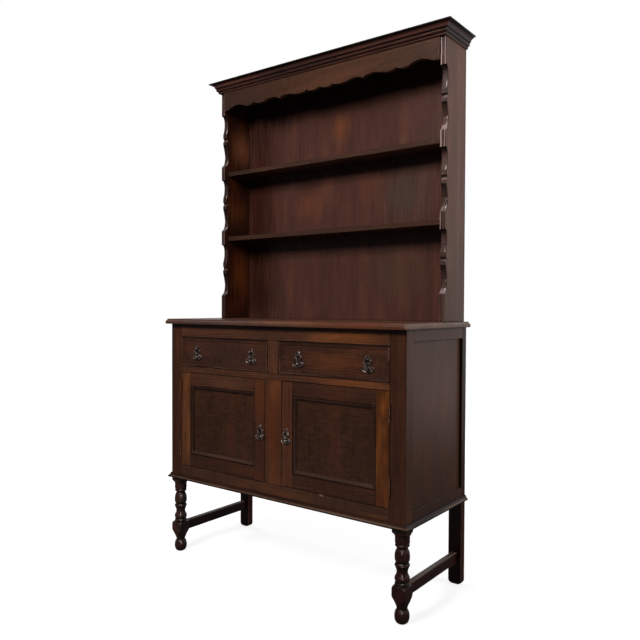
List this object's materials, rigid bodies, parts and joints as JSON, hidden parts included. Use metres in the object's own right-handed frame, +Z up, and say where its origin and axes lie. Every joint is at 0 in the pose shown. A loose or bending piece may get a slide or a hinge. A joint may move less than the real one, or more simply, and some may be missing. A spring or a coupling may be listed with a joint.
{
  "type": "welsh dresser",
  "caption": "Dark oak dresser: drawers over panelled cupboard doors on turned front legs, with a shelved plate rack, scalloped uprights, fretted frieze and crown cornice.",
  "frame": {"origin": "on the floor, under the centre of the table top's outline", "axes": "+Z up; +Y to the back, so the doors and drawers face -Y; +X to the right seen from the front"},
  "size_m": [1.105, 0.442, 1.895],
  "materials": {
    "frame_oak": "dark stained oak, satin wax over old polish",
    "door_oak": "dark stained oak, redder, satin",
    "panel_oak": "darkest stained oak veneer, satin",
    "side_oak": "dark stained oak, greyed by light, satin",
    "rack_oak": "dark stained oak, satin",
    "leg_oak": "turned oak under thick dark polish, semi gloss",
    "inner_wood": "unpolished brown inner wood, matt",
    "bronze": "cast handle metal, aged to dark bronze",
    "iron": "dark steel butt hinge"
  },
  "bodies": {
    "carcass": {"front_leg_left": "leg_oak", "front_leg_right": "leg_oak", "rear_leg_left": "leg_oak", "rear_leg_right": "leg_oak", "side_stretcher_left": "leg_oak", "side_stretcher_right": "leg_oak", "corner_post_left": "frame_oak", "corner_post_right": "frame_oak", "side_top_rail_left": "side_oak", "side_top_rail_right": "side_oak", "side_bottom_rail_left": "side_oak", "side_bottom_rail_right": "side_oak", "side_panel_left": "side_oak", "side_panel_right": "side_oak", "front_top_rail": "frame_oak", "front_bottom_rail": "frame_oak", "drawer_deck": "frame_oak", "drawer_muntin": "frame_oak", "door_muntin": "frame_oak", "cupboard_floor": "inner_wood", "carcass_back": "inner_wood", "base_moulding": "frame_oak", "table_top": "rack_oak", "rack_upright_left": "side_oak", "rack_upright_right": "side_oak", "rack_upper_shelf": "rack_oak", "rack_lower_shelf": "rack_oak", "rack_back": "panel_oak", "frieze": "rack_oak", "cornice": "rack_oak", "hinge_left_lower": "iron", "hinge_left_upper": "iron", "hinge_right_lower": "iron", "hinge_right_upper": "iron"},
    "drawer_left": {"drawer_left_front": "frame_oak", "drawer_left_box": "inner_wood", "drawer_left_left_handle_plate": "bronze", "drawer_left_right_handle_plate": "bronze"},
    "drawer_right": {"drawer_right_front": "frame_oak", "drawer_right_box": "inner_wood", "drawer_right_left_handle_plate": "bronze", "drawer_right_right_handle_plate": "bronze"},
    "door_left": {"door_left_hinge_stile": "door_oak", "door_left_latch_stile": "door_oak", "door_left_top_rail": "door_oak", "door_left_bottom_rail": "door_oak", "door_left_panel": "panel_oak", "door_left_handle_plate": "bronze"},
    "door_right": {"door_right_hinge_stile": "door_oak", "door_right_latch_stile": "door_oak", "door_right_top_rail": "door_oak", "door_right_bottom_rail": "door_oak", "door_right_panel": "panel_oak", "door_right_handle_plate": "bronze"},
    "drawer_left_left_drop": {"drawer_left_left_handle_drop": "bronze"},
    "drawer_left_right_drop": {"drawer_left_right_handle_drop": "bronze"},
    "drawer_right_left_drop": {"drawer_right_left_handle_drop": "bronze"},
    "drawer_right_right_drop": {"drawer_right_right_handle_drop": "bronze"},
    "door_left_drop": {"door_left_handle_drop": "bronze"},
    "door_right_drop": {"door_right_handle_drop": "bronze"}
  },
  "joints": [
    {"name": "drawer_left_slide", "type": "slide", "parent": "carcass", "child": "drawer_left", "axis": [0, -1, 0], "range_m": [0, 0.26]},
    {"name": "drawer_right_slide", "type": "slide", "parent": "carcass", "child": "drawer_right", "axis": [0, -1, 0], "range_m": [0, 0.26]},
    {"name": "door_left_hinge", "type": "hinge", "parent": "carcass", "child": "door_left", "pos_m": [-0.46825, -0.1983, 0.53], "axis": [0, 0, -1], "range_deg": [0, 110]},
    {"name": "door_right_hinge", "type": "hinge", "parent": "carcass", "child": "door_right", "pos_m": [0.46825, -0.1983, 0.53], "axis": [0, 0, 1], "range_deg": [0, 110]},
    {"name": "drawer_left_left_pull", "type": "hinge", "parent": "drawer_left", "child": "drawer_left_left_drop", "pos_m": [-0.38562, -0.199, 0.801], "axis": [-1, 0, 0], "range_deg": [0, 85]},
    {"name": "drawer_left_right_pull", "type": "hinge", "parent": "drawer_left", "child": "drawer_left_right_drop", "pos_m": [-0.10762, -0.199, 0.801], "axis": [-1, 0, 0], "range_deg": [0, 85]},
    {"name": "drawer_right_left_pull", "type": "hinge", "parent": "drawer_right", "child": "drawer_right_left_drop", "pos_m": [0.10762, -0.199, 0.801], "axis": [-1, 0, 0], "range_deg": [0, 85]},
    {"name": "drawer_right_right_pull", "type": "hinge", "parent": "drawer_right", "child": "drawer_right_right_drop", "pos_m": [0.38562, -0.199, 0.801], "axis": [-1, 0, 0], "range_deg": [0, 85]},
    {"name": "door_left_pull", "type": "hinge", "parent": "door_left", "child": "door_left_drop", "pos_m": [-0.0595, -0.204, 0.536], "axis": [-1, 0, 0], "range_deg": [0, 85]},
    {"name": "door_right_pull", "type": "hinge", "parent": "door_right", "child": "door_right_drop", "pos_m": [0.0595, -0.204, 0.536], "axis": [-1, 0, 0], "range_deg": [0, 85]}
  ]
}
